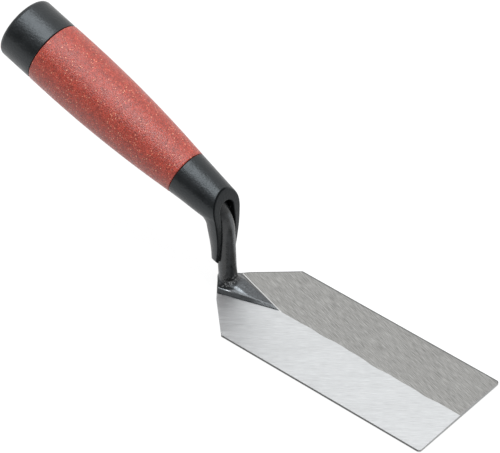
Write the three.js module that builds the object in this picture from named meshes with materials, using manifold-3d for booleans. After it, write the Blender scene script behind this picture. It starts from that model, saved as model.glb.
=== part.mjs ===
// Margin trowel with a soft-grip handle: a flat ground-steel blade, a swan-neck shank on a
// raised V-shaped foot, and a handle of four mouldings that slide onto the shank's tang.
//
// Frame: millimetres, +Z up. The origin is the middle of the blade's flat sole, +X runs along
// the blade to its straight front edge, and the handle rises to the rear, over -X.

import * as THREE from 'three'
import { ConvexGeometry } from 'three/addons/geometries/ConvexGeometry.js'
import { mergeVertices } from 'three/addons/utils/BufferGeometryUtils.js'
import Module from 'manifold-3d'

const wasm = await Module()
wasm.setup()

// Clearance between neighbouring pieces.
const GAP = 0.3

// Blade: a rectangle whose heel is cut back on both sides to a round point at the shank. Its
// top is ground to two facets that meet in a low ridge on the centre line.
const BLADE_LENGTH = 127
const BLADE_WIDTH = 50.8
const HEEL_LENGTH = 26.5
const HEEL_TURN_HALF_WIDTH = 10.4
const HEEL_ROUND = 4.4
const HEEL_ROUND_ANGLE = THREE.MathUtils.degToRad(37)
const FRONT_CORNER_ROUND = 1.3
const EDGE_THICKNESS = 1
const FRONT_THICKNESS = 1.3
const HEEL_THICKNESS = 2

// Foot: a V of the shank's own steel on top of the blade, highest at the heel, with sloping
// sides and a low rib from the shank to its tip. The spreads are half widths gained per
// millimetre back from the tip.
const FOOT_TIP_X = -27.6
const FOOT_SPREAD = 0.316
const FOOT_TOP_SPREAD = 0.262
const FOOT_TIP_HEIGHT = 2.1
const FOOT_HEEL_HEIGHT = 3.3
const RIB_RADIUS = 2.7
const RIB_TIP_RADIUS = 0.8
const RIB_LENGTH = 21

// Shank: a round rod that leans back a little, then bends into the handle's axis and ends in
// a tapered tang.
const SHANK_X = -55.4
const SHANK_RADIUS = 3.8
const SHANK_FLARE = 0.4
const FLARE_HEIGHT = 13
const SHANK_LEAN = THREE.MathUtils.degToRad(2.2)
const BEND_RADIUS = 17
const NECK_END = -8
const TANG_START = -9
const TANG_END = 34
const TANG_END_RADIUS = 2.8

// Handle: bodies of revolution about an axis that rises to the rear. Stations count along the
// axis from the grip's front seam, positive towards the butt.
const HANDLE_PITCH = THREE.MathUtils.degToRad(19.03)
const CORNER_HEIGHT = 40.07
const CORNER_TO_SEAM = 21.7
const GRIP_LENGTH = 76.2
const GRIP_RADIUS = 14
const GRIP_TAPER = 4.05
const GRIP_TAPER_LENGTH = 68
const GRIP_WALL = 3
const GRIP_EDGE = 0.4

// Front guard: a tapered collar that turns down into a tongue behind the shank. Its front is
// part of a large cylinder that lies across the trowel.
const COLLAR_RADIUS = 9.95
const COLLAR_TAPER = 0.098
const COLLAR_LENGTH = 26
const TONGUE_TIP_HEIGHT = 14
const TONGUE_SETBACK = 0.5
const FACE_X = -54.95
const FACE_HEIGHT = 31
const FACE_RADIUS = 60
const SLOT_TOP = 43.8

// Core: the hard moulding inside the grip. It has a spigot for the guard, grips the front of
// the tang and is hollow from there to the butt, wider at the back for the cap's spigot.
const SPIGOT_RADIUS = 6.2
const SPIGOT_LENGTH = 8
const CORE_HOLLOW_START = 19
const CORE_HOLLOW_RADIUS = 7.2
const CORE_BORE_RADIUS = 9
const CORE_BORE_DEPTH = 33

// Butt cap: a hollow cup whose spigot plugs the core.
const CAP_LENGTH = 17.75
const CAP_RADIUS = 13.95
const CAP_EDGE_ROUND = 2.5
const CAP_SPIGOT_LENGTH = 12
const CAP_BORE_RADIUS = 7.2
const CAP_CUP_RADIUS = 12.2
const CAP_FRONT_WALL = 1.6
const CAP_FLOOR = 1.8

const RADIAL_STEPS = 48
const SWEEP_STEPS = 40

const shankDirection = new THREE.Vector3(-Math.sin(SHANK_LEAN), 0, Math.cos(SHANK_LEAN))
const handleDirection = new THREE.Vector3(-Math.cos(HANDLE_PITCH), 0, Math.sin(HANDLE_PITCH))
const heel = new THREE.Vector3(SHANK_X, 0, 0)
const corner = heel.clone().addScaledVector(shankDirection, CORNER_HEIGHT / Math.cos(SHANK_LEAN))
const seam = corner.clone().addScaledVector(handleDirection, CORNER_TO_SEAM)

// These turn +Z, the axis of every body of revolution, to the shank's line and the handle's.
const shankTurn = new THREE.Euler(0, -SHANK_LEAN, 0)
const handleTurn = new THREE.Euler(0, HANDLE_PITCH - Math.PI / 2, 0)

// ---- helpers

function toSolid(geometry) {
  const bare = geometry.clone()
  bare.deleteAttribute('normal')
  bare.deleteAttribute('uv')
  const merged = mergeVertices(bare, 1e-4)
  const vertProperties = Float32Array.from(merged.attributes.position.array)
  const triVerts = Uint32Array.from(merged.index.array)
  return new wasm.Manifold(new wasm.Mesh({ numProp: 3, vertProperties, triVerts }))
}

function toGeometry(solid) {
  const { vertProperties, triVerts } = solid.getMesh()
  const geometry = new THREE.BufferGeometry()
  geometry.setAttribute('position', new THREE.BufferAttribute(vertProperties, 3))
  geometry.setIndex(new THREE.BufferAttribute(triVerts, 1))
  geometry.computeVertexNormals()
  return geometry
}

// A body of revolution about +Z. The profile lists [radius, height], rising along the outside.
function revolve(profile) {
  const points = profile.map(([radius, height]) => new THREE.Vector2(radius, height))
  return new THREE.LatheGeometry(points, RADIAL_STEPS).rotateX(Math.PI / 2)
}

// A body of revolution moved from +Z onto the shank's line, with heights from the sole.
function revolveOnShank(profile) {
  const matrix = new THREE.Matrix4().makeRotationFromEuler(shankTurn).setPosition(heel)
  return toSolid(revolve(profile).applyMatrix4(matrix))
}

// A body of revolution moved from +Z onto the handle's axis, with stations from the seam.
function revolveOnHandle(profile) {
  const matrix = new THREE.Matrix4().makeRotationFromEuler(handleTurn).setPosition(seam)
  return toSolid(revolve(profile).applyMatrix4(matrix))
}

function sweepDisc(radius, curve) {
  const disc = new THREE.Shape().absarc(0, 0, radius, 0, 2 * Math.PI)
  const options = { extrudePath: curve, steps: SWEEP_STEPS, curveSegments: 12 }
  return toSolid(new THREE.ExtrudeGeometry(disc, options))
}

// An outline in the plane of the blade, thickened upwards from the sole.
function plate(shape, height) {
  const options = { depth: height, bevelEnabled: false, curveSegments: 8 }
  return new THREE.ExtrudeGeometry(shape, options)
}

// An outline drawn across the trowel, (y, z), and extruded forwards from a given x.
function barAlongX(shape, startX, length) {
  return plate(shape, length).rotateX(Math.PI / 2).rotateZ(Math.PI / 2).translate(startX, 0, 0)
}

// ---- shapes that several pieces share

// The pointed plan of the heel: two slanting edges that turn in beside the foot and run
// round the shank.
function addHeel(outline) {
  const y = HEEL_TURN_HALF_WIDTH
  const x = (2 * HEEL_LENGTH * y) / BLADE_WIDTH - BLADE_LENGTH / 2
  outline.lineTo(x, y)
  outline.absarc(SHANK_X, 0, HEEL_ROUND, Math.PI - HEEL_ROUND_ANGLE, Math.PI + HEEL_ROUND_ANGLE)
  outline.lineTo(x, -y)
}

// A convex solid from its corners. Each [x, y, z] with y above zero also gives its mirror
// image across the centre line.
function symmetricHull(corners) {
  const points = []
  for (const [x, y, z] of corners) {
    points.push(new THREE.Vector3(x, y, z))
    if (y > 0) points.push(new THREE.Vector3(x, -y, z))
  }
  return toSolid(new ConvexGeometry(points))
}

// Everything below the blade's ground top, raised by a clearance.
function groundSection(clearance) {
  const front = BLADE_LENGTH / 2 + 1
  const side = BLADE_WIDTH / 2
  return symmetricHull([
    [front, side, -5],
    [-front, side, -5],
    [front, side, EDGE_THICKNESS + clearance],
    [-front, side, EDGE_THICKNESS + clearance],
    [front, 0, FRONT_THICKNESS + clearance],
    [-front, 0, HEEL_THICKNESS + clearance],
  ])
}

// The shank's centre line: from the heel up, round the bend and a little along the handle.
function shankLine() {
  const turn = Math.PI / 2 - HANDLE_PITCH - SHANK_LEAN
  const reach = BEND_RADIUS * Math.tan(turn / 2)
  const bendStart = corner.clone().addScaledVector(shankDirection, -reach)
  const centreX = bendStart.x - BEND_RADIUS * Math.cos(SHANK_LEAN)
  const centreZ = bendStart.z - BEND_RADIUS * Math.sin(SHANK_LEAN)
  const points = []
  const straightSteps = 5
  for (let i = 0; i < straightSteps; i++) {
    points.push(heel.clone().lerp(bendStart, i / straightSteps))
  }
  const bendSteps = 10
  for (let i = 0; i <= bendSteps; i++) {
    const angle = SHANK_LEAN + (turn * i) / bendSteps
    const x = centreX + BEND_RADIUS * Math.cos(angle)
    const z = centreZ + BEND_RADIUS * Math.sin(angle)
    points.push(new THREE.Vector3(x, 0, z))
  }
  points.push(seam.clone().addScaledVector(handleDirection, NECK_END))
  return new THREE.CatmullRomCurve3(points)
}

function tangProfile(clearance, lastStation) {
  return [
    [0, TANG_START],
    [SHANK_RADIUS + clearance, TANG_START],
    [TANG_END_RADIUS + clearance, lastStation],
    [0, lastStation],
  ]
}

// The grip's radius at a station: a parabola that swells from the front seam to a straight
// rear part.
function gripRadius(station) {
  const short = Math.max(0, 1 - station / GRIP_TAPER_LENGTH)
  return GRIP_RADIUS - GRIP_TAPER * short * short
}

// [radius, station] pairs along the grip, front to rear, set in from its outside.
function gripProfile(inset, steps) {
  const first = GAP / 2
  const length = GRIP_LENGTH - GAP
  const profile = []
  for (let i = 0; i <= steps; i++) {
    const station = first + (length * i) / steps
    profile.push([gripRadius(station) - inset, station])
  }
  return profile
}

// ---- blade

function bladeSolid() {
  const front = BLADE_LENGTH / 2
  const side = BLADE_WIDTH / 2
  const round = FRONT_CORNER_ROUND
  const outline = new THREE.Shape()
  outline.moveTo(front, round - side)
  outline.absarc(front - round, side - round, round, 0, Math.PI / 2)
  outline.lineTo(HEEL_LENGTH - front, side)
  addHeel(outline)
  outline.lineTo(HEEL_LENGTH - front, -side)
  outline.absarc(front - round, round - side, round, -Math.PI / 2, 0)
  return toSolid(plate(outline, 4)).intersect(groundSection(0))
}

// ---- shank

function footSolid() {
  const outline = new THREE.Shape()
  outline.moveTo(FOOT_TIP_X, 0)
  addHeel(outline)
  const rear = -BLADE_LENGTH / 2
  const footLength = FOOT_TIP_X - rear
  const wedge = symmetricHull([
    [FOOT_TIP_X, 0, 0],
    [FOOT_TIP_X, 0, FOOT_TIP_HEIGHT],
    [rear, FOOT_SPREAD * footLength, 0],
    [rear, FOOT_SPREAD * footLength, EDGE_THICKNESS],
    [rear, FOOT_TOP_SPREAD * footLength, FOOT_HEEL_HEIGHT],
  ])
  return toSolid(plate(outline, 8)).intersect(wedge)
}

// The rib that runs down from the front of the shank to the foot's tip.
function ribSolid() {
  const rib = new THREE.CylinderGeometry(RIB_TIP_RADIUS, RIB_RADIUS, RIB_LENGTH, 24)
  rib.rotateZ(-Math.PI / 2)
  rib.translate(SHANK_X + RIB_LENGTH / 2, 0, FOOT_TIP_HEIGHT)
  return toSolid(rib)
}

function flareSolid() {
  const steps = 5
  const profile = [[0, 0]]
  for (let i = 0; i <= steps; i++) {
    const rest = 1 - i / steps
    profile.push([SHANK_RADIUS + SHANK_FLARE * rest * rest, FLARE_HEIGHT * (1 - rest)])
  }
  profile.push([0, FLARE_HEIGHT])
  return revolveOnShank(profile)
}

function shankSolid() {
  const neck = sweepDisc(SHANK_RADIUS, shankLine())
  const tang = revolveOnHandle(tangProfile(0, TANG_END))
  const whole = neck.add(tang).add(flareSolid()).add(footSolid()).add(ribSolid())
  return whole.subtract(groundSection(GAP))
}

// ---- front guard

// The tongue's outside widens from its tip up into the collar.
function tongueSolid() {
  const tongue = revolveOnShank([
    [0, TONGUE_TIP_HEIGHT],
    [5.8, TONGUE_TIP_HEIGHT],
    [6.1, 22],
    [6.8, 29],
    [7.5, 36],
    [7.7, 40],
    [0, 40],
  ])
  return tongue.translate([-TONGUE_SETBACK, 0, 0])
}

function collarSolid() {
  return revolveOnHandle([
    [0, -COLLAR_LENGTH],
    [COLLAR_RADIUS - COLLAR_TAPER * COLLAR_LENGTH, -COLLAR_LENGTH],
    [COLLAR_RADIUS, -GAP / 2],
    [0, -GAP / 2],
  ])
}

function faceDrum() {
  const drum = new THREE.CylinderGeometry(FACE_RADIUS, FACE_RADIUS, BLADE_WIDTH, 160)
  return toSolid(drum.translate(FACE_X - FACE_RADIUS, 0, FACE_HEIGHT))
}

// The socket for the core's spigot, open to the rear.
function socketSolid() {
  const radius = SPIGOT_RADIUS + GAP
  const depth = SPIGOT_LENGTH + GAP
  return revolveOnHandle([[0, -depth], [radius, -depth], [radius, 2], [0, 2]])
}

// The space round the shank: its own round channel, opened to the front up to a round arch
// that reaches further back where the shank has bent away.
function slotSolid() {
  const radius = SHANK_RADIUS + GAP
  const mouth = new THREE.Shape()
  mouth.moveTo(-radius, 0)
  mouth.lineTo(radius, 0)
  mouth.absarc(0, SLOT_TOP - radius, radius, 0, Math.PI)
  const arch = new THREE.Shape()
  arch.absarc(0, SLOT_TOP - radius, radius, 0, 2 * Math.PI)
  return sweepDisc(radius, shankLine())
    .add(revolveOnHandle(tangProfile(GAP, TANG_END)))
    .add(toSolid(barAlongX(mouth, SHANK_X - 2, 20)))
    .add(toSolid(barAlongX(arch, SHANK_X - 6, 20)))
}

function guardSolid() {
  const outside = collarSolid().add(tongueSolid()).intersect(faceDrum())
  return outside.subtract(socketSolid()).subtract(slotSolid())
}

// ---- core, grip and cap, about the handle's axis

function coreSolid() {
  const body = revolve([
    [0, -SPIGOT_LENGTH],
    [SPIGOT_RADIUS, -SPIGOT_LENGTH],
    [SPIGOT_RADIUS, GAP / 2],
    ...gripProfile(GRIP_WALL + GAP, 12),
    [0, GRIP_LENGTH - GAP / 2],
  ])
  const boreStart = GRIP_LENGTH - CORE_BORE_DEPTH
  const boreEnd = GRIP_LENGTH + 2
  const bore = revolve([
    [0, CORE_HOLLOW_START],
    [CORE_HOLLOW_RADIUS, CORE_HOLLOW_START],
    [CORE_HOLLOW_RADIUS, boreStart],
    [CORE_BORE_RADIUS, boreStart],
    [CORE_BORE_RADIUS, boreEnd],
    [0, boreEnd],
  ])
  const tangBore = revolve(tangProfile(GAP, TANG_END))
  return toSolid(body).subtract(toSolid(bore)).subtract(toSolid(tangBore))
}

function gripGeometry() {
  const outside = gripProfile(0, 20)
  const inside = gripProfile(GRIP_WALL, 12).reverse()
  const [frontRadius, front] = outside.shift()
  const [rearRadius, rear] = outside.pop()
  return revolve([
    [frontRadius - GRIP_EDGE, front],
    [frontRadius, front + GRIP_EDGE],
    ...outside,
    [rearRadius, rear - GRIP_EDGE],
    [rearRadius - GRIP_EDGE, rear],
    ...inside,
    [frontRadius - GRIP_EDGE, front],
  ])
}

function capGeometry() {
  const front = GRIP_LENGTH + GAP / 2
  const end = GRIP_LENGTH + CAP_LENGTH
  const spigotFront = front - CAP_SPIGOT_LENGTH
  const spigotRadius = CORE_BORE_RADIUS - GAP
  const profile = [
    [0, end - CAP_FLOOR],
    [CAP_CUP_RADIUS, end - CAP_FLOOR],
    [CAP_CUP_RADIUS, front + CAP_FRONT_WALL],
    [CAP_BORE_RADIUS, front + CAP_FRONT_WALL],
    [CAP_BORE_RADIUS, spigotFront],
    [spigotRadius, spigotFront],
    [spigotRadius, front],
    [CAP_RADIUS, front],
  ]
  const steps = 6
  for (let i = 0; i <= steps; i++) {
    const angle = ((Math.PI / 2) * i) / steps
    const radius = CAP_RADIUS - CAP_EDGE_ROUND * (1 - Math.cos(angle))
    const station = end - CAP_EDGE_ROUND * (1 - Math.sin(angle))
    profile.push([radius, station])
  }
  profile.push([0, end])
  return revolve(profile)
}

// ---- materials

function groundSteel() {
  return new THREE.MeshStandardMaterial({ color: 0xc9cbcc, roughness: 0.35, metalness: 1 })
}

function blackEnamel() {
  return new THREE.MeshStandardMaterial({ color: 0x33373a, roughness: 0.38, metalness: 0.1 })
}

function blackPlastic() {
  return new THREE.MeshStandardMaterial({ color: 0x383c40, roughness: 0.55, metalness: 0 })
}

function corePlastic() {
  return new THREE.MeshStandardMaterial({ color: 0x5a5c5e, roughness: 0.6, metalness: 0 })
}

function redSoftGrip() {
  return new THREE.MeshStandardMaterial({ color: 0xb7503f, roughness: 0.7, metalness: 0 })
}

// ---- assembly

function piece(name, geometry, material) {
  const mesh = new THREE.Mesh(geometry, material)
  mesh.name = name
  return mesh
}

function handleGroup() {
  const handle = new THREE.Group()
  handle.position.copy(seam)
  handle.rotation.copy(handleTurn)
  handle.add(piece('handle_core', toGeometry(coreSolid()), corePlastic()))
  handle.add(piece('soft_grip', gripGeometry(), redSoftGrip()))
  handle.add(piece('butt_cap', capGeometry(), blackPlastic()))
  return handle
}

const trowel = new THREE.Group()
trowel.add(piece('blade', toGeometry(bladeSolid()), groundSteel()))
trowel.add(piece('shank', toGeometry(shankSolid()), blackEnamel()))
trowel.add(piece('front_guard', toGeometry(guardSolid()), blackPlastic()))
trowel.add(handleGroup())

export default trowel
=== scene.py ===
"""The looks of a margin trowel: steel blade, enamelled shank, moulded guard, soft grip and butt cap."""

import math
from itertools import product

import bpy
import numpy as np
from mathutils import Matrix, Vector


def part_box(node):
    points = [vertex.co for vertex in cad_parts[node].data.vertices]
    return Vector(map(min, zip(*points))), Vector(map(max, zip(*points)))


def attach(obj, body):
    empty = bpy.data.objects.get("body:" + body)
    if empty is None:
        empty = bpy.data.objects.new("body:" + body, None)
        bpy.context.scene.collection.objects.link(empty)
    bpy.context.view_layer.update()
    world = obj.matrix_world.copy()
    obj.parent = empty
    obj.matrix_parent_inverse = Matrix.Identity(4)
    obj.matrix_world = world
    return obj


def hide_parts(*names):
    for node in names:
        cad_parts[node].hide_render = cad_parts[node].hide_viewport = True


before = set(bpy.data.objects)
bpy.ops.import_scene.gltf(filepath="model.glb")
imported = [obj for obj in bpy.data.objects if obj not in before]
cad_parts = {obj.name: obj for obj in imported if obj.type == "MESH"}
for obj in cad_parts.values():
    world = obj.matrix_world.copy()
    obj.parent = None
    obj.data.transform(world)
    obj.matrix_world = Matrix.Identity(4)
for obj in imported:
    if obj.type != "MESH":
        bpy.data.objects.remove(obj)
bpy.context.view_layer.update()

MM = 0.001

# ---- driving dimensions, in millimetres like every length in this script

SEAM_GAP = 0.3
SKIN_CELL = 0.27

BLADE_HALF_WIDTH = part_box("blade")[1].y / MM
BLADE_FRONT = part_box("blade")[1].x / MM
HEEL_LENGTH = 26.5
HEEL_TURN_HALF_WIDTH = 10.4
HEEL_ROUND = 4.4
FRONT_CORNER_ROUND = 1.3
EDGE_THICKNESS = 1.0
FRONT_THICKNESS = 1.3
HEEL_THICKNESS = 2.0
BLADE_CHAMFER = 0.12
FAR_RIM = 0.5

SHANK_X = -55.4
SHANK_RADIUS = 3.8
SHANK_FLARE = 0.1
SHANK_FRONT_FLARE = 0.05
SHANK_LEAN = math.radians(2.2)
BEND_RADIUS = 17.0
TANG_START = -9.0
TANG_END = 34.0
TANG_END_RADIUS = 2.8

FOOT_TIP_X = -27.6
FOOT_NEAR_SPREAD = 0.316
FOOT_FAR_SPREAD = 0.287
FOOT_SIDE_SLOPE = math.radians(45)
FOOT_TIP_HEIGHT = 2.0
FOOT_RISE = 0.037
FOOT_TILT = 0.075
FOOT_EDGE_ROUND = 0.2
FOOT_SEAM = 0.02
RIB_SLOPE = math.radians(50)
RIB_END_X = -36.0
RIB_LENGTH = 13.0
RIB_TOP_HEIGHT = 2.7
RIB_TOP_HALF_WIDTH = 2.3
RIB_WIDENING = 0.06
RIB_RISE = 0.07
RIB_CURVE = 0.008
RIB_CROWN = 0.05
RIB_FILLET = 1.4
NECK_FILLET = 0.8
WELD_LUMP_HEIGHT = 0.1

COLLAR_RADIUS = 9.95
COLLAR_TAPER = 0.098
COLLAR_LENGTH = 26.0
COLLAR_BELLY = 0.4
ELBOW_ROUND = 2.6
TONGUE_SETBACK = 0.5
TONGUE_RADIUS = 5.85
TONGUE_WIDENING = 1.85
TONGUE_TIP_HEIGHT = 13.7
TONGUE_TOP_HEIGHT = 40.0

# Two sloping planes cut the tongue's end to a V. Each passes through a point at VEE_HEIGHT, behind
# and beside the tongue's axis. From there it falls forwards and rises sideways.
VEE_HEIGHT = 13.8
VEE_BEHIND = 4.43
VEE_BESIDE = 3.81
VEE_FORWARD_SLOPE = 0.336
VEE_SIDE_SLOPE = 1.416
VEE_STEEPNESS = 1.77

FACE_X = -54.95
FACE_HEIGHT = 31.0
FACE_RADIUS = 60.0
FACE_LOW_RADIUS = 85.0
FACE_EDGE_ROUND = 0.45
SLOT_TOP = 43.9
SLOT_EDGE_ROUND = 0.3
SLOT_MOUTH_DEPTH = 2.0
SLOT_POCKET_DEPTH = 7.0
SOCKET_RADIUS = 6.5
SOCKET_DEPTH = 8.3

GRIP_RADIUS = 14.0
GRIP_TAPER = 4.05
GRIP_TAPER_LENGTH = 68.0
GRIP_WALL = 3.0
GRIP_LIP = 0.45
GRIP_SEAM = 0.12

CAP_RADIUS = 13.95
CAP_EDGE_ROUND = 2.4
CAP_DOME = 0.25
CAP_FLOOR = 1.8
CAP_FRONT_WALL = 1.6
CAP_CUP_RADIUS = 12.2
CAP_BORE_RADIUS = 7.2
CAP_SPIGOT_RADIUS = 8.7
CAP_SPIGOT_LENGTH = 12.0


# ---- reading the frame

def node_points(node):
    """The corners of a CAD node, in millimetres."""
    return np.array([v.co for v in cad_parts[node].data.vertices], float) / MM


def handle_axis():
    """The grip's front seam on the handle's axis, the direction towards the butt, and the grip's length."""
    points = node_points("soft_grip")
    centre = points.mean(axis=0)
    direction = np.linalg.svd(points - centre, full_matrices=False)[2][0]
    direction[1] = 0
    direction *= -np.sign(direction[0]) / np.linalg.norm(direction)
    stations = (points - centre) @ direction
    seam = centre + direction * (stations.min() - SEAM_GAP / 2)
    seam[1] = 0
    return seam, direction, np.ptp(stations) + SEAM_GAP


SEAM, BUTTWARDS, GRIP_LENGTH = handle_axis()
HANDLE_PITCH = math.asin(BUTTWARDS[2])
ACROSS = np.array([0, 1, 0])
HANDLE_DOWN = np.cross(BUTTWARDS, ACROSS)


def handle_stations(points):
    """Each point's distance along the handle's axis from the seam, and from the axis."""
    offset = points - SEAM
    station = offset @ BUTTWARDS
    return station, np.linalg.norm(offset - station[:, None] * BUTTWARDS, axis=1)


def handle_point(radius, station, angle):
    """The point at a radius, a station and an angle round the handle's axis, from its underside."""
    spoke = math.cos(angle) * HANDLE_DOWN + math.sin(angle) * ACROSS
    return SEAM + BUTTWARDS * station + spoke * radius


# ---- mesh helpers

def add_mesh(name, vertices, faces, sharp_degrees=None):
    """A smooth-shaded mesh object from points in millimetres."""
    mesh = bpy.data.meshes.new(name)
    mesh.from_pydata((np.asarray(vertices) * MM).tolist(), [], [list(map(int, f)) for f in faces])
    mesh.shade_smooth()
    if sharp_degrees is not None:
        mesh.set_sharp_from_angle(angle=math.radians(sharp_degrees))
    mesh.update()
    piece = bpy.data.objects.new(name, mesh)
    bpy.context.scene.collection.objects.link(piece)
    return piece


def vertex_values(piece, name, values):
    """Stores one value per vertex for a material to read."""
    layer = piece.data.attributes.new(name, "FLOAT", "POINT")
    layer.data.foreach_set("value", np.asarray(values, np.float32))


def mesh_points(piece):
    """A piece's vertices, in millimetres."""
    points = np.empty(3 * len(piece.data.vertices), np.float32)
    piece.data.vertices.foreach_get("co", points)
    return points.reshape(-1, 3).astype(float) / MM


def ring_faces(rings, per_ring):
    """Quads between neighbouring rings of points, with n-gons that close both ends."""
    faces = []
    for ring, point in product(range(rings - 1), range(per_ring)):
        following = (point + 1) % per_ring
        here = ring * per_ring
        there = here + per_ring
        faces.append((here + point, here + following, there + following, there + point))
    faces.append(tuple(range(per_ring))[::-1])
    last = (rings - 1) * per_ring
    faces.append(tuple(range(last, last + per_ring)))
    return faces


def surface_nets(values):
    """Points (in grid steps) and quads of the zero level of a grid of values, negative inside."""
    inside = values < 0
    cell_shape = tuple(n - 1 for n in values.shape)
    count = np.zeros(cell_shape, np.int8)
    for offset in product((0, 1), repeat=3):
        count += inside[tuple(slice(o, o + n) for o, n in zip(offset, cell_shape))]
    mixed = (count > 0) & (count < 8)
    cells = np.argwhere(mixed)
    index = np.full(cell_shape, -1)
    index[mixed] = np.arange(len(cells))
    total = np.zeros((len(cells), 3))
    hits = np.zeros(len(cells))
    quads = []
    for axis in range(3):
        step = np.eye(3, dtype=int)[axis]
        side_a, side_b = (np.eye(3, dtype=int)[(axis + k) % 3] for k in (1, 2))
        for a, b in product((0, 1), repeat=2):
            start = cells + a * side_a + b * side_b
            low = values[tuple(start.T)]
            high = values[tuple((start + step).T)]
            crosses = (low < 0) != (high < 0)
            share = np.where(crosses, low / np.where(crosses, low - high, 1), 0)
            total += np.where(crosses[:, None], start + share[:, None] * step, 0)
            hits += crosses
        ahead = np.roll(inside, -1, axis=axis)
        edges = np.argwhere(inside != ahead)
        limit = np.array(values.shape) - 1
        edges = edges[np.all(edges < limit, axis=1)]
        edges = edges[(edges[:, (axis + 1) % 3] > 0) & (edges[:, (axis + 2) % 3] > 0)]
        around = [edges, edges - side_a, edges - side_a - side_b, edges - side_b]
        quad = np.stack([index[tuple(corner.T)] for corner in around], axis=1)
        outward = inside[tuple(edges.T)]
        quad[~outward] = quad[~outward][:, ::-1]
        quads.append(quad)
    return total / hits[:, None], np.concatenate(quads)


def gradient(distance, points, step=0.02):
    """The slope of a distance function at points."""
    slopes = [distance(points + step * axis) - distance(points - step * axis) for axis in np.eye(3)]
    return np.stack(slopes, axis=1) / (2 * step)


def skin(name, distance, low, high, sharp_degrees):
    """A mesh piece around a distance function: surface nets, then each point is moved onto the surface."""
    axes = [np.arange(a, b + SKIN_CELL, SKIN_CELL) for a, b in zip(low, high)]
    grid = np.stack(np.meshgrid(*axes, indexing="ij"), axis=-1)
    values = distance(grid.reshape(-1, 3)).reshape(grid.shape[:3])
    points, quads = surface_nets(values)
    points = points * SKIN_CELL + np.array(low)
    for _ in range(4):
        slope = gradient(distance, points)
        size = np.maximum((slope * slope).sum(axis=1), 0.25)
        move = np.clip(distance(points) / size, -SKIN_CELL / 2, SKIN_CELL / 2)
        points = points - slope * move[:, None]
    return add_mesh(name, points, quads, sharp_degrees)


def lathe(name, profile, steps=144, sharp_degrees=40):
    """A solid of revolution about the handle's axis, from (radius, station) pairs between two on it."""
    vertices = [SEAM + BUTTWARDS * profile[0][1]]
    for (radius, station), k in product(profile[1:-1], range(steps)):
        vertices.append(handle_point(radius, station, 2 * math.pi * k / steps))
    vertices.append(SEAM + BUTTWARDS * profile[-1][1])
    faces = []
    last = len(vertices) - 1
    rings = len(profile) - 2
    for k in range(steps):
        following = (k + 1) % steps
        faces.append((0, 1 + k, 1 + following))
        for ring in range(rings - 1):
            here = 1 + ring * steps
            there = here + steps
            faces.append((here + k, there + k, there + following, here + following))
        rim = 1 + (rings - 1) * steps
        faces.append((rim + k, last, rim + following))
    return add_mesh(name, vertices, faces, sharp_degrees)


def closed_lathe(name, profile, steps=160, sharp_degrees=40):
    """A ring-shaped body of revolution, whose profile closes on itself."""
    vertices = []
    for k, (radius, station) in product(range(steps), profile):
        vertices.append(handle_point(radius, station, 2 * math.pi * k / steps))
    count = len(profile)
    faces = []
    for k, point in product(range(steps), range(count)):
        here = k * count
        there = ((k + 1) % steps) * count
        following = (point + 1) % count
        faces.append((here + point, here + following, there + following, there + point))
    return add_mesh(name, vertices, faces, sharp_degrees)


def corner_arc(centre, radius, start, end, steps):
    """(radius, station) pairs round a corner, at angles in degrees from outwards to buttwards."""
    angles = [math.radians(start + (end - start) * k / steps) for k in range(steps + 1)]
    return [(centre[0] + radius * math.cos(a), centre[1] + radius * math.sin(a)) for a in angles]


# ---- distance functions

def round_union(a, b, radius):
    """The union of two distances, with a fillet of the given radius where they meet."""
    inner = np.hypot(np.maximum(radius - a, 0), np.maximum(radius - b, 0))
    return np.maximum(radius, np.minimum(a, b)) - inner


def round_cut(a, b, radius):
    """The intersection of two distances, with its edge rounded to the given radius."""
    outer = np.hypot(np.maximum(radius + a, 0), np.maximum(radius + b, 0))
    return np.minimum(-radius, np.maximum(a, b)) + outer


def smooth_step(values, low, high):
    """0 below low, 1 above high and an easy S between them."""
    share = np.clip((values - low) / (high - low), 0, 1)
    return share * share * (3 - 2 * share)


def segment_distance(x, z, start, end):
    """Distance from (x, z) to the segment between two (x, z) points."""
    along = np.subtract(end, start)
    share = ((x - start[0]) * along[0] + (z - start[1]) * along[1]) / (along @ along)
    share = np.clip(share, 0, 1)
    return np.hypot(x - start[0] - share * along[0], z - start[1] - share * along[1])


def shank_bend():
    """The bend's centre, where it starts and ends, all as (x, z), and its first and last angle."""
    heel = np.array([SHANK_X, 0.0])
    up = np.array([-math.sin(SHANK_LEAN), math.cos(SHANK_LEAN)])
    seam = SEAM[[0, 2]]
    rearward = BUTTWARDS[[0, 2]]
    reach = np.linalg.solve(np.stack([up, -rearward], axis=1), seam - heel)
    corner = heel + up * reach[0]
    turn = math.pi / 2 - HANDLE_PITCH - SHANK_LEAN
    setback = BEND_RADIUS * math.tan(turn / 2)
    start = corner - up * setback
    end = corner + rearward * setback
    inwards = np.array([-math.cos(SHANK_LEAN), -math.sin(SHANK_LEAN)])
    return start + BEND_RADIUS * inwards, start, end, SHANK_LEAN, SHANK_LEAN + turn


BEND_CENTRE, BEND_START, BEND_END, BEND_FROM, BEND_TO = shank_bend()


def shank_line_distance(points):
    """Distance to the shank's centre line: up from the heel, round the bend and along the handle."""
    x, y, z = points.T
    straight = segment_distance(x, z, (SHANK_X, 0.0), BEND_START)
    angle = np.clip(np.arctan2(z - BEND_CENTRE[1], x - BEND_CENTRE[0]), BEND_FROM, BEND_TO)
    bend_x = BEND_CENTRE[0] + BEND_RADIUS * np.cos(angle)
    bend_z = BEND_CENTRE[1] + BEND_RADIUS * np.sin(angle)
    bend = np.hypot(x - bend_x, z - bend_z)
    tang_root = (SEAM + BUTTWARDS * TANG_START)[[0, 2]]
    rear = segment_distance(x, z, BEND_END, tang_root)
    return np.hypot(np.minimum(np.minimum(straight, bend), rear), y)


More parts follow.
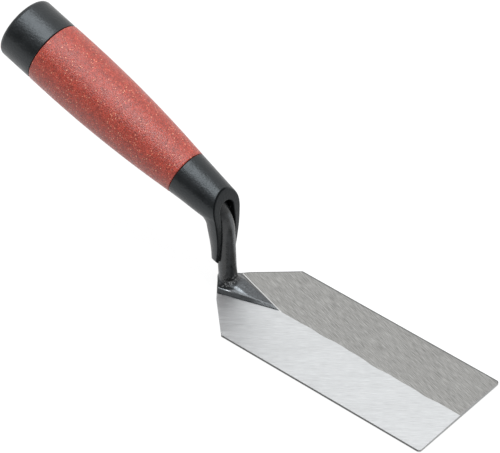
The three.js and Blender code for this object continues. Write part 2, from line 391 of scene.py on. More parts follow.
def blade_top(x, y):
    """The height of the blade's ground top."""
    share = (BLADE_FRONT - x) / (2 * BLADE_FRONT)
    ridge = FRONT_THICKNESS + (HEEL_THICKNESS - FRONT_THICKNESS) * share
    return EDGE_THICKNESS + (ridge - EDGE_THICKNESS) * (1 - np.abs(y) / BLADE_HALF_WIDTH)


# ---- blade

def heel_turn():
    """Where the slanting heel edge turns in beside the foot, and where it meets the round, as (x, y)."""
    turn_x = HEEL_LENGTH * HEEL_TURN_HALF_WIDTH / BLADE_HALF_WIDTH - BLADE_FRONT
    turn = np.array([turn_x, HEEL_TURN_HALF_WIDTH])
    centre = np.array([SHANK_X, 0.0])
    reach = np.linalg.norm(turn - centre)
    bearing = math.atan2(*(turn - centre)[::-1]) + math.acos(HEEL_ROUND / reach)
    normal = np.array([math.cos(bearing), math.sin(bearing)])
    return turn, centre + HEEL_ROUND * normal, normal


HEEL_TURN, HEEL_TANGENT, HEEL_NORMAL = heel_turn()


def blade_half_width(x):
    """Half the blade's width at x."""
    if x > BLADE_FRONT - FRONT_CORNER_ROUND:
        past = x - BLADE_FRONT + FRONT_CORNER_ROUND
        return BLADE_HALF_WIDTH - FRONT_CORNER_ROUND + math.sqrt(max(FRONT_CORNER_ROUND**2 - past**2, 0))
    if x > HEEL_LENGTH - BLADE_FRONT:
        return BLADE_HALF_WIDTH
    if x > HEEL_TURN[0]:
        return (x + BLADE_FRONT) * BLADE_HALF_WIDTH / HEEL_LENGTH
    if x > HEEL_TANGENT[0]:
        return np.interp(x, [HEEL_TANGENT[0], HEEL_TURN[0]], [HEEL_TANGENT[1], HEEL_TURN[1]])
    return math.sqrt(max(HEEL_ROUND**2 - (x - SHANK_X) ** 2, 0))


def blade_stations():
    """Places along the blade: dense round the heel and the front corners."""
    rear = SHANK_X - HEEL_ROUND
    heel = [rear + (HEEL_TANGENT[0] - rear) * k * k / 64 for k in range(1, 9)]
    corner_start = BLADE_FRONT - FRONT_CORNER_ROUND
    corner = [corner_start + FRONT_CORNER_ROUND * math.sin(math.pi / 2 * k / 8) for k in range(1, 9)]
    shoulder = HEEL_LENGTH - BLADE_FRONT
    slant = list(np.linspace(HEEL_TANGENT[0], HEEL_TURN[0], 5)[1:])
    slant += list(np.linspace(HEEL_TURN[0], shoulder, 13)[1:])
    body = list(np.linspace(shoulder, corner_start, 81)[1:])
    return heel + slant + body + corner


def ridge_wander(x):
    """The ridge isn't quite straight: the two grinds meet in a slightly wavy line."""
    fade = smooth_step(np.array(x), FOOT_TIP_X, FOOT_TIP_X + 20)
    fade = fade * smooth_step(np.array(BLADE_FRONT - x), 0, 20)
    wave = 0.22 * math.sin(x / 4.3) + 0.16 * math.sin(x / 2.1 + 1.0) + 0.3 * math.sin(x / 13.0 + 2.0)
    return float(fade) * wave


def blade_section(x, facet_steps):
    """The ring of points round the blade at x, from the sole's near edge round the far side and back."""
    half = blade_half_width(x)
    edge = min(BLADE_CHAMFER, half / 3)
    ridge = min(max(ridge_wander(x), -half / 2), half / 2)
    facet_end = half - edge - min(FAR_RIM, half / 4)
    far = [half - edge] + [ridge + (facet_end - ridge) * k / facet_steps for k in range(facet_steps, 0, -1)]
    near = [-half + edge + (ridge + half - edge) * k / facet_steps for k in range(facet_steps - 1, -1, -1)]
    top = [(y, float(blade_top(x, y))) for y in far + [ridge] + near]
    side = float(blade_top(x, half))
    ring = [(edge - half, 0.0), (half - edge, 0.0), (half, edge), (half, side - edge)]
    ring += top + [(-half, side - edge), (-half, edge)]
    return [(x, y, z) for y, z in ring]


def make_blade(materials):
    """The blade: two facets, edges, a darker rim along the far one, and the sole, each with its own grind;
    the near facet's paler and the far facet's darker steel colour are painted light and painted shade.
    """
    facet_steps = 10
    rings = [blade_section(x, facet_steps) for x in blade_stations()]
    per_ring = len(rings[0])
    vertices = [point for ring in rings for point in ring]
    blade = add_mesh("ground_blade", vertices, ring_faces(len(rings), per_ring), sharp_degrees=12)
    for material in materials:
        blade.data.materials.append(material)
    near_slot, far_slot, edge_slot, side_slot, sole_slot = range(5)
    turns = {near_slot: NEAR_GRIND, far_slot: FAR_GRIND}
    layer = blade.data.uv_layers.new(name="grind")
    rim_strip = 4
    for face in blade.data.polygons:
        if face.index % per_ring == rim_strip and face.normal.z > 0.9:
            face.material_index = side_slot
        elif face.normal.z < -0.9:
            face.material_index = sole_slot
        elif abs(face.normal.y) > 0.95:
            face.material_index = side_slot
        elif face.normal.z < 0.9:
            face.material_index = edge_slot
        elif face.center.y < ridge_wander(face.center.x / MM) * MM:
            face.material_index = near_slot
        else:
            face.material_index = far_slot
        turn = turns.get(face.material_index, 0.0)
        for loop in face.loop_indices:
            point = blade.data.vertices[blade.data.loops[loop].vertex_index].co / MM
            u = point.x * math.cos(turn) + point.y * math.sin(turn)
            v = point.y * math.cos(turn) - point.x * math.sin(turn)
            layer.data[loop].uv = (u, v + point.z)
    return blade


# ---- shank

def rod_distance(points):
    """The round neck, a little thicker at its root."""
    low_down = 1 - smooth_step(points[:, 2], 3.0, 12.0)
    flare = (SHANK_FLARE + SHANK_FRONT_FLARE * (points[:, 0] - SHANK_X)) * low_down
    return shank_line_distance(points) - SHANK_RADIUS - flare


def heel_distance(points):
    """The outline of the blade's heel, seen from above."""
    x = points[:, 0] - SHANK_X
    y = np.abs(points[:, 1])
    tangent = np.array([-HEEL_NORMAL[1], HEEL_NORMAL[0]])
    ahead = x * tangent[0] + y * tangent[1]
    flat = x * HEEL_NORMAL[0] + y * HEEL_NORMAL[1]
    return np.where(ahead > 0, np.hypot(x, y), flat) - HEEL_ROUND


def foot_side_distance(points):
    """The V of the foot seen from above, with sloping sides; the near one is gentler towards the tip."""
    x, y, z = points.T
    spread = np.where(y < 0, FOOT_NEAR_SPREAD, FOOT_FAR_SPREAD)
    side = (np.abs(y) - spread * (FOOT_TIP_X - x)) / np.hypot(1, spread)
    slope = FOOT_SIDE_SLOPE * np.where(y < 0, 1 - 0.25 * smooth_step(x, -44.0, -34.0), 1.0)
    return side * np.sin(slope) + (z - blade_top(x, y)) * np.cos(slope)


def table_height(points):
    """Height above the foot's table, which rises to the heel and is a little lower on the far side."""
    x, y, z = points.T
    return z - FOOT_TIP_HEIGHT - FOOT_RISE * (FOOT_TIP_X - x) + FOOT_TILT * y


def rough_root_and_glint_share(points):
    """1 in front of the root of the rod, where the forging is rough and glints are painted, and 0 away from
    it.
    """
    x, y, z = points.T
    near_rod = 1 - smooth_step(np.hypot(x - SHANK_X, y), 4.6, 6.6)
    low_down = 1 - smooth_step(z, 6.0, 10.0)
    return near_rod * low_down * smooth_step(x - SHANK_X, -1.0, 2.0)


def foot_distance(points):
    """The foot: a V-shaped table that rises to the heel, with a flat-topped rib along its middle."""
    x, y, z = points.T
    table = table_height(points)
    behind = np.minimum(RIB_END_X - x, RIB_LENGTH)
    rib_top = z - RIB_TOP_HEIGHT - RIB_RISE * behind - RIB_CURVE * behind * behind
    rib_side = np.abs(y) - RIB_TOP_HALF_WIDTH - RIB_WIDENING * behind
    flank = rib_side * math.sin(RIB_SLOPE) + rib_top * math.cos(RIB_SLOPE)
    shoulder_round = 0.5 + 0.3 * smooth_step(behind, 6.0, 12.0)
    rib = round_cut(flank, rib_top + RIB_CROWN * np.abs(y), shoulder_round)
    top = round_union(table, rib, RIB_FILLET)
    foot = round_cut(top, foot_side_distance(points), FOOT_EDGE_ROUND)
    heel = heel_distance(points) + 0.1 + 0.11 * np.maximum(y, 0)
    return round_cut(foot, heel, FOOT_EDGE_ROUND)


def forging_distance(points):
    """The foot and the rod, joined by a fillet, above the blade and within its heel."""
    x, y, z = points.T
    lumps = np.sin(4.1 * x + 1.3 * z) * np.sin(3.7 * y + 0.8) * np.sin(3.3 * z + 0.4 * x)
    whole = round_union(foot_distance(points), rod_distance(points), NECK_FILLET)
    whole = whole + WELD_LUMP_HEIGHT * rough_root_and_glint_share(points) * lumps
    low_down = z < FOOT_TIP_HEIGHT + 3.0
    whole = np.where(low_down, np.maximum(whole, heel_distance(points) + FOOT_SEAM), whole)
    return np.maximum(whole, blade_top(x, y) + FOOT_SEAM - z)


def crease_painted_shade(points):
    """1 on the foot between its near edge and the rib, where shade is painted, and 0 elsewhere."""
    x, y, z = points.T
    outside_rib = 1 - smooth_step(y + 2.2 + RIB_WIDENING * (RIB_END_X - x), -1.1, -0.5)
    return outside_rib * smooth_step(-foot_side_distance(points), 0.15, 0.4) * (z < 5.5)


def shank_wear_and_sheen(points):
    """0 on the enamel and about a half on the burnished foot; up to 0.8 on a painted highlight line along
    the foot's near top edge, drawn as bare steel, and under a half on two strips of painted sheen on the
    rod.
    """
    x, y, z = points.T
    foot = 1 - smooth_step(z, 4.2, 6.5)
    edge = np.hypot(foot_side_distance(points), table_height(points))
    # Painted highlight: a bright line along the foot's near top edge, on the near side only.
    near_edge = np.exp(-((edge / 0.2) ** 2)) * (y < 0) * (1 - smooth_step(x, -49.5, -45.0))
    top = 0.4 + 0.6 * smooth_step(-foot_side_distance(points), 0.1, 0.5)
    burnished = 0.5 * foot * top * (1 - crease_painted_shade(points)) * (1 - rough_root_and_glint_share(points))
    # Painted sheen: metallic strips down the front and the near side of the rod.
    front_sheen = 0.42 * np.exp(-(((y - 0.4) / 0.7) ** 2)) * (x > SHANK_X) * smooth_step(z, 14, 24)
    side_sheen = 0.26 * smooth_step(-y, 1.0, 2.0) * (1 - smooth_step(x - SHANK_X, -0.4, 0.8))
    side_sheen *= smooth_step(z, 3.0, 4.0) * (1 - smooth_step(z, 12, 18))
    return np.maximum.reduce([burnished, front_sheen, side_sheen, 0.8 * near_edge])


def make_shank(material):
    """The visible forging, from the foot to the root of the tang."""
    low = (SHANK_X - 26.0, -9.2, 0.6)
    high = (FOOT_TIP_X + 0.6, 9.2, 51.0)
    forging = skin("shank_forging", forging_distance, low, high, sharp_degrees=50)
    forging.data.materials.append(material)
    points = mesh_points(forging)
    vertex_values(forging, "wear_and_sheen", shank_wear_and_sheen(points))
    vertex_values(forging, "rough_root_and_glints", rough_root_and_glint_share(points))
    vertex_values(forging, "painted_shade", crease_painted_shade(points))
    return forging


def make_tang(material):
    """The tapered tang inside the handle."""
    profile = [(0, TANG_START), (SHANK_RADIUS, TANG_START), (TANG_END_RADIUS, TANG_END - 1.0)]
    profile += [(TANG_END_RADIUS - 1.0, TANG_END), (0, TANG_END)]
    tang = lathe("shank_tang", profile, steps=48)
    tang.data.materials.append(material)
    return tang


# ---- guard

def collar_distance(points):
    """The collar: a cone that narrows forwards, a little fuller underneath."""
    station, radial = handle_stations(points)
    below = np.clip((points - SEAM) @ HANDLE_DOWN / np.maximum(radial, 1.0), 0, 1)
    belly = COLLAR_BELLY * below * smooth_step(-station, 4.0, 16.0)
    cone = (radial - COLLAR_RADIUS - belly - COLLAR_TAPER * station) * math.cos(math.atan(COLLAR_TAPER))
    rear_edge = round_cut(cone, station + 0.06, 0.3)
    return np.maximum(rear_edge, -COLLAR_LENGTH - station)


def tongue_distance(points):
    """The tongue behind the rod, which widens upwards into the collar."""
    x, y, z = points.T
    axis_x = SHANK_X - TONGUE_SETBACK - math.tan(SHANK_LEAN) * z
    radius = TONGUE_RADIUS + TONGUE_WIDENING * smooth_step(z, 16.0, TONGUE_TOP_HEIGHT)
    side = np.hypot(x - axis_x, y) - radius
    forward = VEE_FORWARD_SLOPE * (x - axis_x + VEE_BEHIND)
    sideways = VEE_SIDE_SLOPE * (np.abs(y) - VEE_BESIDE)
    vee = VEE_HEIGHT - forward + sideways - z
    tip = np.maximum(TONGUE_TIP_HEIGHT - z, vee / VEE_STEEPNESS)
    return np.maximum(round_cut(side, tip, 0.1), z - TONGUE_TOP_HEIGHT)


def face_distance(points):
    """The guard's front: a large cylinder across the trowel, and a flatter one below its middle."""
    radius = np.where(points[:, 2] < FACE_HEIGHT, FACE_LOW_RADIUS, FACE_RADIUS)
    centre_x = FACE_X - radius
    return np.hypot(points[:, 0] - centre_x, points[:, 2] - FACE_HEIGHT) - radius


def slot_distance(points):
    """The space round the rod, open to the front under a round arch."""
    x, y, z = points.T
    radius = SHANK_RADIUS + SEAM_GAP
    channel = shank_line_distance(points) - radius
    arch_height = SLOT_TOP - radius
    arch = np.where(z > arch_height, np.hypot(y, z - arch_height), np.abs(y)) - radius
    mouth = np.maximum(arch, SHANK_X - SLOT_MOUTH_DEPTH - x)
    pocket = np.hypot(y, z - arch_height) - radius
    pocket = np.maximum(pocket, SHANK_X - SLOT_POCKET_DEPTH - x)
    return np.minimum(np.minimum(channel, mouth), pocket)


def guard_distance(points):
    """The guard: collar, tongue and a rounded elbow, cut by the face, the slot and the core's socket."""
    y = points[:, 1]
    elbow = ELBOW_ROUND * np.clip(1 - (np.abs(y) / 7.6) ** 4, 0.04, 1)
    outside = round_union(collar_distance(points), tongue_distance(points), elbow)
    outside = round_cut(outside, face_distance(points), FACE_EDGE_ROUND)
    station, radial = handle_stations(points)
    socket = np.maximum(radial - SOCKET_RADIUS, -SOCKET_DEPTH - station)
    return round_cut(np.maximum(outside, -socket), -slot_distance(points), SLOT_EDGE_ROUND)


def make_guard(side, front):
    """The guard has one finish on its round outside and a duller one on its flat front and in its slot."""
    low = (SEAM[0] - 5.0, -10.6, 11.0)
    high = (FACE_X + 1.0, 10.6, SEAM[2] + 11.5)
    guard = skin("guard_hood", guard_distance, low, high, sharp_degrees=60)
    guard.data.materials.append(side)
    guard.data.materials.append(front)
    points = mesh_points(guard)
    on_front = (np.abs(face_distance(points)) < 0.08) | (np.abs(slot_distance(points)) < 0.1)
    # Painted shade: a dark line along the face's outer edge, on the near side only, made by dropping the
    # shine.
    near_edge = np.exp(-(((face_distance(points) + 0.25) / 0.22) ** 2))
    near_edge *= (slot_distance(points) > 0.6) * (1 - smooth_step(points[:, 1], 0.0, 4.0))
    vertex_values(guard, "edge_shade", near_edge)
    for face in guard.data.polygons:
        face.material_index = int(all(on_front[v] for v in face.vertices))
    return guard


# ---- grip and cap

def grip_radius(station):
    """The grip swells from the front seam to a straight rear part."""
    taper = max(0.0, 1 - station / GRIP_TAPER_LENGTH)
    return GRIP_RADIUS - GRIP_TAPER * taper * taper


def make_grip(material):
    """The soft sleeve, with a small rounded lip at each end."""
    lip = GRIP_LIP
    front = GRIP_SEAM
    rear = GRIP_LENGTH - GRIP_SEAM
    steps = 40
    profile = corner_arc((grip_radius(0) - lip + 0.12, front + lip), lip, -90, 0, 6)
    for k in range(1, steps):
        station = front + 2 * lip + (rear - front - 4 * lip) * k / steps
        profile.append((grip_radius(station), station))
    profile += corner_arc((grip_radius(rear) - lip, rear - lip), lip, 0, 90, 6)
    inside = [front + (rear - front) * k / 12 for k in range(12, -1, -1)]
    profile += [(grip_radius(station) - GRIP_WALL, station) for station in inside]
    grip = closed_lathe("grip_sleeve", profile)
    grip.data.materials.append(material)
    return grip


def make_cap(material):
    """The hollow butt cap: a groove at the seam, a rounded edge and a slightly domed end."""
    front = GRIP_LENGTH + GRIP_SEAM
    end = cap_end()
    floor = end - CAP_FLOOR
    wall = front + CAP_FRONT_WALL
    spigot = front - CAP_SPIGOT_LENGTH
    radius = CAP_RADIUS
    edge = CAP_EDGE_ROUND
    profile = [(0, floor), (CAP_CUP_RADIUS, floor), (CAP_CUP_RADIUS, wall), (CAP_BORE_RADIUS, wall)]
    profile += [(CAP_BORE_RADIUS, spigot), (CAP_SPIGOT_RADIUS, spigot), (CAP_SPIGOT_RADIUS, front)]
    profile += corner_arc((radius - 0.45, front + 0.35), 0.35, -90, 0, 4)
    profile += [(radius, front + 1.2), (radius, front + 8.0)]
    profile += corner_arc((radius - edge, end - edge - CAP_DOME), edge, 0, 80, 10)
    profile += [(radius * share, end - CAP_DOME * share * share) for share in (0.6, 0.4, 0.2)]
    profile.append((0, end))
    cap = lathe("butt_cap_shell", profile)
    cap.data.materials.append(material)
    return cap


def cap_end():
    """How far the cap reaches along the handle's axis."""
    station, _ = handle_stations(node_points("butt_cap"))
    return station.max()


# ---- materials

NEAR_GRIND = math.radians(38)
FAR_GRIND = math.radians(-16)


def new_material(name):
    """A material, its nodes and links, and its shader."""
    material = bpy.data.materials.new(name)
    material.use_nodes = True
    nodes = material.node_tree.nodes
    return material, nodes, material.node_tree.links, nodes["Principled BSDF"]


def noise(nodes, links, vector, scale, detail=3.0, roughness=0.55):
    """Cloudy noise, at scale cells per unit of the vector."""
    node = nodes.new("ShaderNodeTexNoise")
    node.inputs["Scale"].default_value = scale
    node.inputs["Detail"].default_value = detail
    node.inputs["Roughness"].default_value = roughness
    links.new(vector, node.inputs["Vector"])
    return node.outputs["Fac"]


def scaled(nodes, links, vector, scale):
    """A vector stretched by a scale for each axis."""
    node = nodes.new("ShaderNodeMapping")
    node.inputs["Scale"].default_value = scale
    links.new(vector, node.inputs["Vector"])
    return node.outputs["Vector"]


def ramp(nodes, links, value, stops):
    """A colour ramp from (position, colour) stops."""
    node = nodes.new("ShaderNodeValToRGB")
    elements = node.color_ramp.elements
    while len(elements) < len(stops):
        elements.new(0.5)
    for element, (position, colour) in zip(elements, stops):
        element.position = position
        element.color = (*colour, 1)
    links.new(value, node.inputs["Fac"])
    return node.outputs["Color"]


def mix_colour(nodes, links, kind, share, first, second):
    """first and second are sockets; share is a socket or a number."""
    node = nodes.new("ShaderNodeMix")
    node.data_type = "RGBA"
    node.blend_type = kind
    if isinstance(share, float):
        node.inputs["Factor"].default_value = share
    else:
        links.new(share, node.inputs["Factor"])
    links.new(first, node.inputs[6])
    links.new(second, node.inputs[7])
    return node.outputs[2]


def bump(nodes, links, height, strength, depth, shader, before=None):
    """Raises the shader's surface by height, on top of the bump before it."""
    node = nodes.new("ShaderNodeBump")
    node.inputs["Strength"].default_value = strength
    node.inputs["Distance"].default_value = depth
    links.new(height, node.inputs["Height"])
    if before is not None:
        links.new(before, node.inputs["Normal"])
    links.new(node.outputs["Normal"], shader.inputs["Normal"])
    return node.outputs["Normal"]


def vertex_value(nodes, name):
    """A value stored on the mesh's vertices."""
    node = nodes.new("ShaderNodeAttribute")
    node.attribute_name = name
    return node.outputs["Fac"]


def grey(level, tint=(1.0, 1.0, 1.0)):
    """A grey colour, with an optional tint."""
    return tuple(level * t for t in tint)


def foot_highlight_line(nodes, links):
    """1 on a thin line of the blade just outside the foot's far side, where a highlight is painted, and 0
    elsewhere.
    """
    across = nodes.new("ShaderNodeVectorMath")
    across.operation = "DOT_PRODUCT"
    across.inputs[1].default_value = (FOOT_FAR_SPREAD / MM, 1 / MM, 0)
    links.new(nodes.new("ShaderNodeTexCoord").outputs["Object"], across.inputs[0])
    start = FOOT_FAR_SPREAD * FOOT_TIP_X
    shift = nodes.new("ShaderNodeMapRange")
    shift.inputs["From Min"].default_value = start - 1
    shift.inputs["From Max"].default_value = start + 1
    links.new(across.outputs["Value"], shift.inputs["Value"])
    stops = [(0.50, grey(0.0)), (0.54, grey(1.0)), (0.60, grey(1.0)), (0.66, grey(0.0))]
    return ramp(nodes, links, shift.outputs["Result"], stops)


def ground_steel(name, dark, light, tint, roughness, anisotropic, beside_foot=False):
    """Steel with fine scratches along the grind map's U direction, which is in millimetres."""
    material, nodes, links, shader = new_material(name)
    grind_map = nodes.new("ShaderNodeUVMap")
    grind_map.uv_map = "grind"
    flat = grind_map.outputs["UV"]
    hair = noise(nodes, links, scaled(nodes, links, flat, (0.2, 4.2, 1)), 1.0, 3.0, 0.65)
    streak = noise(nodes, links, scaled(nodes, links, flat, (0.035, 0.7, 1)), 1.0, 3.0)
    cloud = noise(nodes, links, flat, 0.05, 2.0)
    fine = ramp(nodes, links, hair, [(0.25, grey(dark, tint)), (0.75, grey(light, tint))])
    coarse = ramp(nodes, links, streak, [(0.3, grey(0.92)), (0.7, grey(1.0))])
    patch = ramp(nodes, links, cloud, [(0.3, grey(0.95)), (0.7, grey(1.0))])
    colour = mix_colour(nodes, links, "MULTIPLY", 1.0, fine, coarse)
    colour = mix_colour(nodes, links, "MULTIPLY", 1.0, colour, patch)
    # Beside the foot the far facet gets a paler line: a painted highlight, partly a freshly ground strip.
    if beside_foot:
        bright = ramp(nodes, links, cloud, [(0.0, grey(0.78)), (1.0, grey(0.9))])
        colour = mix_colour(nodes, links, "MIX", foot_highlight_line(nodes, links), colour, bright)
    links.new(colour, shader.inputs["Base Color"])
    rough = ramp(nodes, links, streak, [(0.3, grey(roughness * 0.92)), (0.7, grey(roughness * 1.08))])
    links.new(rough, shader.inputs["Roughness"])
    bump(nodes, links, hair, 0.25, 0.00003, shader)
    tangent = nodes.new("ShaderNodeTangent")
    tangent.direction_type = "UV_MAP"
    tangent.uv_map = "grind"
    links.new(tangent.outputs["Tangent"], shader.inputs["Tangent"])
    shader.inputs["Metallic"].default_value = 1.0
    shader.inputs["Anisotropic"].default_value = anisotropic
    return material


def black_enamel():
    """Black enamel over a rough forging, burnished on the foot, with bare steel standing for a painted
    highlight line and painted sheen strips, painted shade in the foot's near crease and painted glints at
    the rod's root.
    """
    material, nodes, links, shader = new_material("black_enamel")
    spot = nodes.new("ShaderNodeTexCoord").outputs["Object"]
    forged = noise(nodes, links, spot, 420.0, 4.0)
    pits = noise(nodes, links, spot, 1500.0, 2.0)
    wear_and_sheen = vertex_value(nodes, "wear_and_sheen")
    rough_root_and_glints = vertex_value(nodes, "rough_root_and_glints")
    enamel = ramp(nodes, links, forged, [(0.3, (0.005, 0.0055, 0.006)), (0.7, (0.018, 0.0195, 0.021))])
    # The palest steel stop paints the highlight line along the foot's near top edge.
    steel_stops = [(0.5, (0.118, 0.125, 0.131)), (0.62, (0.16, 0.17, 0.175)), (0.9, grey(0.85))]
    steel = ramp(nodes, links, wear_and_sheen, steel_stops)
    grain = ramp(nodes, links, pits, [(0.3, grey(0.7)), (0.7, grey(1.15))])
    steel = mix_colour(nodes, links, "MULTIPLY", 1.0, steel, grain)
    steel_or_sheen = ramp(nodes, links, wear_and_sheen, [(0.05, grey(0.0)), (0.45, grey(1.0))])
    # Painted glints: light specks added to the enamel at the rod's rough root.
    spatter = noise(nodes, links, spot, 900.0, 2.0)
    glint_specks = ramp(nodes, links, spatter, [(0.57, grey(0.0)), (0.66, grey(0.14))])
    painted_glints = mix_colour(nodes, links, "MULTIPLY", 1.0, glint_specks, rough_root_and_glints)
    enamel = mix_colour(nodes, links, "ADD", 1.0, enamel, painted_glints)
    colour = mix_colour(nodes, links, "MIX", steel_or_sheen, enamel, steel)
    links.new(colour, shader.inputs["Base Color"])
    links.new(steel_or_sheen, shader.inputs["Metallic"])
    rough = ramp(nodes, links, forged, [(0.3, grey(0.22)), (0.7, grey(0.38))])
    links.new(rough, shader.inputs["Roughness"])
    first = bump(nodes, links, forged, 0.35, 0.00035, shader)
    second = bump(nodes, links, pits, 0.2, 0.0001, shader, first)
    third = bump(nodes, links, spatter, 1.0, 0.0006, shader, second)
    links.new(rough_root_and_glints, third.node.inputs["Strength"])
    # Painted shade: less shine in the foot's near crease, where the burnish is also left off.
    shaded_shine = ramp(nodes, links, vertex_value(nodes, "painted_shade"), [(0.0, grey(0.6)), (1.0, grey(0.12))])
    links.new(shaded_shine, shader.inputs["Specular IOR Level"])
    return material


def black_plastic(name, shine=0.5, painted_edge_shade=False):
    """Satin black moulding with a very fine grain, and a painted dark line of shade, without shine, where
    its mesh stores one.
    """
    material, nodes, links, shader = new_material(name)
    spot = nodes.new("ShaderNodeTexCoord").outputs["Object"]
    grain = noise(nodes, links, spot, 2600.0, 2.0)
    scuff = noise(nodes, links, spot, 160.0, 5.0, 0.65)
    colour = ramp(nodes, links, scuff, [(0.3, (0.003, 0.0036, 0.004)), (0.75, (0.0065, 0.0075, 0.008))])
    links.new(colour, shader.inputs["Base Color"])
    rough = ramp(nodes, links, scuff, [(0.3, grey(0.29)), (0.75, grey(0.42))])
    links.new(rough, shader.inputs["Roughness"])
    peel = noise(nodes, links, spot, 1000.0, 2.0)
    first = bump(nodes, links, peel, 0.6, 0.00018, shader)
    bump(nodes, links, grain, 0.35, 0.00008, shader, first)
    shader.inputs["Specular IOR Level"].default_value = shine
    if painted_edge_shade:
        level = ramp(nodes, links, vertex_value(nodes, "edge_shade"), [(0.0, grey(shine)), (0.8, grey(0.04))])
        links.new(level, shader.inputs["Specular IOR Level"])
    # The bluish specular tint is a painted tint of the reflected light.
    shader.inputs["Specular Tint"].default_value = (0.90, 0.96, 1.0, 1)
    return material


def core_plastic():
    """The plain grey moulding inside the grip."""
    material, nodes, links, shader = new_material("core_plastic")
    spot = nodes.new("ShaderNodeTexCoord").outputs["Object"]
    grain = noise(nodes, links, spot, 900.0)
    colour = ramp(nodes, links, grain, [(0.3, grey(0.10)), (0.7, grey(0.14))])
    links.new(colour, shader.inputs["Base Color"])
    shader.inputs["Roughness"].default_value = 0.6
    bump(nodes, links, grain, 0.2, 0.0001, shader)
    return material


def soft_grip():
    """Brick-red rubber, finely pebbled, with small orange flecks moulded in."""
    material, nodes, links, shader = new_material("soft_grip")
    spot = nodes.new("ShaderNodeTexCoord").outputs["Object"]
    pebble = noise(nodes, links, spot, 2400.0, 2.0, 0.6)
    mottle = noise(nodes, links, spot, 600.0, 3.0)
    cells = nodes.new("ShaderNodeTexVoronoi")
    cells.inputs["Scale"].default_value = 1050.0
    links.new(spot, cells.inputs["Vector"])
    base = ramp(nodes, links, mottle, [(0.3, (0.245, 0.030, 0.018)), (0.7, (0.40, 0.052, 0.031))])
    grain = ramp(nodes, links, pebble, [(0.28, grey(0.42)), (0.72, grey(1.4))])
    red = mix_colour(nodes, links, "MULTIPLY", 1.0, base, grain)
    near_centre = ramp(nodes, links, cells.outputs["Distance"], [(0.16, grey(1.0)), (0.32, grey(0.0))])
    split = nodes.new("ShaderNodeSeparateColor")
    links.new(cells.outputs["Color"], split.inputs["Color"])
    chosen = ramp(nodes, links, split.outputs["Red"], [(0.54, grey(0.0)), (0.66, grey(1.0))])
    share = mix_colour(nodes, links, "MULTIPLY", 1.0, near_centre, chosen)
    fleck_stops = [(0.0, (0.50, 0.13, 0.07)), (1.0, (0.74, 0.33, 0.20))]
    fleck = ramp(nodes, links, split.outputs["Green"], fleck_stops)
    colour = mix_colour(nodes, links, "MIX", share, red, fleck)
    links.new(colour, shader.inputs["Base Color"])
    scuff = noise(nodes, links, spot, 130.0, 5.0, 0.65)
    rough = ramp(nodes, links, scuff, [(0.35, grey(0.28)), (0.65, grey(0.42))])
    links.new(rough, shader.inputs["Roughness"])
    shader.inputs["Specular IOR Level"].default_value = 0.58
    bump(nodes, links, pebble, 0.75, 0.00030, shader)
    return material


# ---- studio

CAMERA_AZIMUTH = math.radians(40.693)
CAMERA_ELEVATION = math.radians(40.491)
CAMERA_DISTANCE = 1.19515
CAMERA_AIM = Vector((-0.052726, 0.010507, 0.025866))
CAMERA_LENS = 213.62


def make_camera():
    """The camera, in front of the trowel's near side and above it."""
    level = math.cos(CAMERA_ELEVATION)
    back_x = math.sin(CAMERA_AZIMUTH) * level
    back_y = -math.cos(CAMERA_AZIMUTH) * level
    back = Vector((back_x, back_y, math.sin(CAMERA_ELEVATION)))
    data = bpy.data.cameras.new("camera")
    data.lens = CAMERA_LENS
    data.sensor_width = 36.0
    camera = bpy.data.objects.new("camera", data)
    camera.location = CAMERA_AIM + back * CAMERA_DISTANCE
    camera.rotation_mode = "QUATERNION"
    camera.rotation_quaternion = (-back).to_track_quat("-Z", "Y")
    bpy.context.scene.collection.objects.link(camera)
    bpy.context.scene.camera = camera


def make_floor():
    """A large pale floor."""
    half = 4000.0
    corners = [(-half, -half, -0.3), (half, -half, -0.3), (half, half, -0.3), (-half, half, -0.3)]
    floor = add_mesh("studio_floor", corners, [(0, 1, 2, 3)])
    material, _, _, shader = new_material("studio_floor")
    shader.inputs["Base Color"].default_value = (0.15, 0.15, 0.15, 1)
    shader.inputs["Roughness"].default_value = 0.9
    shader.inputs["Specular IOR Level"].default_value = 0.1
    shader.inputs["Emission Color"].default_value = (1, 1, 1, 1)
    shader.inputs["Emission Strength"].default_value = 0.85
    floor.data.materials.append(material)


def area_light(name, location, aim, size, energy, colour):
    """A rectangular softbox that faces a point."""
    data = bpy.data.lights.new(name, "AREA")
    data.shape = "RECTANGLE"
    data.size, data.size_y = size
    data.energy = energy
    data.color = colour
    lamp = bpy.data.objects.new(name, data)
    lamp.location = location
    lamp.rotation_mode = "QUATERNION"
    lamp.rotation_quaternion = (Vector(aim) - Vector(location)).to_track_quat("-Z", "Y")
    bpy.context.scene.collection.objects.link(lamp)


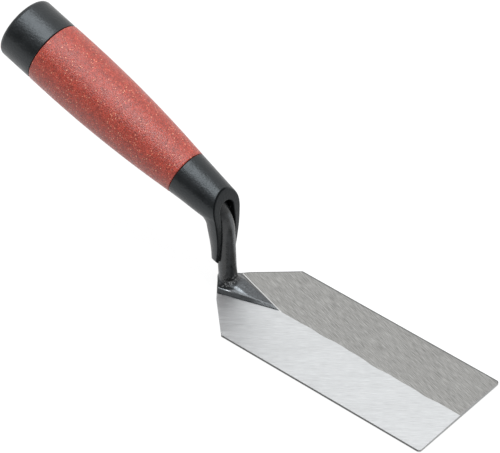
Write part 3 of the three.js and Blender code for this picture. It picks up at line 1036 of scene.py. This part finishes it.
def make_world():
    """Soft surroundings: bright above and behind the trowel, dark in front of it."""
    world = bpy.data.worlds.new("studio")
    world.use_nodes = True
    nodes = world.node_tree.nodes
    links = world.node_tree.links
    direction = nodes.new("ShaderNodeTexCoord").outputs["Generated"]
    dot = nodes.new("ShaderNodeVectorMath")
    dot.operation = "DOT_PRODUCT"
    dot.inputs[1].default_value = (-0.1, 0.69, 0.72)
    links.new(direction, dot.inputs[0])
    stretch = nodes.new("ShaderNodeMapRange")
    stretch.inputs["From Min"].default_value = -1.0
    links.new(dot.outputs["Value"], stretch.inputs["Value"])
    stops = [(0.22, grey(0.05)), (0.38, grey(0.28)), (0.6, grey(0.6)), (0.85, grey(0.92)), (0.97, grey(1.1))]
    colour = ramp(nodes, links, stretch.outputs["Result"], stops)
    links.new(colour, nodes["Background"].inputs["Color"])
    nodes["Background"].inputs["Strength"].default_value = 1.0
    bpy.context.scene.world = world


def make_studio():
    """A pale floor, soft surroundings and one large softbox overhead."""
    make_floor()
    make_world()
    lamp_place = (-0.06, -0.105, 0.95)
    lamp_colour = (0.93, 0.97, 1.0)
    area_light("overhead_softbox", lamp_place, (-0.06, 0, 0.03), (0.75, 0.75), 9.8, lamp_colour)
    bpy.context.scene.view_settings.view_transform = "Standard"


# ---- assembly

def place(piece, slot, *nodes):
    """Every piece rides on the part's one body, and the CAD nodes it stands in for are hidden; slot is not
    used.
    """
    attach(piece, "root")
    if nodes:
        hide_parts(*nodes)


make_camera()
make_studio()

# Copies of one ground steel in different brightness: the near facet's paler and the far facet's darker
# colour are painted light and painted shade, and their bluish and warm tints are painted reflection tints.
near_facet = ground_steel("steel_near_facet_painted_light", 0.54, 0.78, (0.985, 1.0, 1.01), 0.42, 0.5)
far_facet = ground_steel("steel_far_facet_painted_shade", 0.155, 0.50, (1.01, 1.0, 0.965), 0.42, 0.5, beside_foot=True)
cut_edge = ground_steel("steel_edge", 0.26, 0.40, (1, 1, 1), 0.35, 0.0)
side_edge = ground_steel("steel_side", 0.09, 0.16, (1, 1, 1), 0.40, 0.0)
sole = ground_steel("steel_sole", 0.55, 0.68, (1, 1, 1), 0.36, 0.5)
enamel = black_enamel()

place(make_blade([near_facet, far_facet, cut_edge, side_edge, sole]), "ground_steel", "blade")
place(make_shank(enamel), "black_enamel", "shank")
place(make_tang(enamel), "black_enamel")
guard = make_guard(black_plastic("guard_plastic", painted_edge_shade=True), black_plastic("guard_front", 0.28))
place(guard, "guard_plastic", "front_guard")
place(make_grip(soft_grip()), "soft_grip", "soft_grip")
place(make_cap(black_plastic("cap_plastic")), "cap_plastic", "butt_cap")

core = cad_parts["handle_core"]
core.data.materials.clear()
core.data.materials.append(core_plastic())
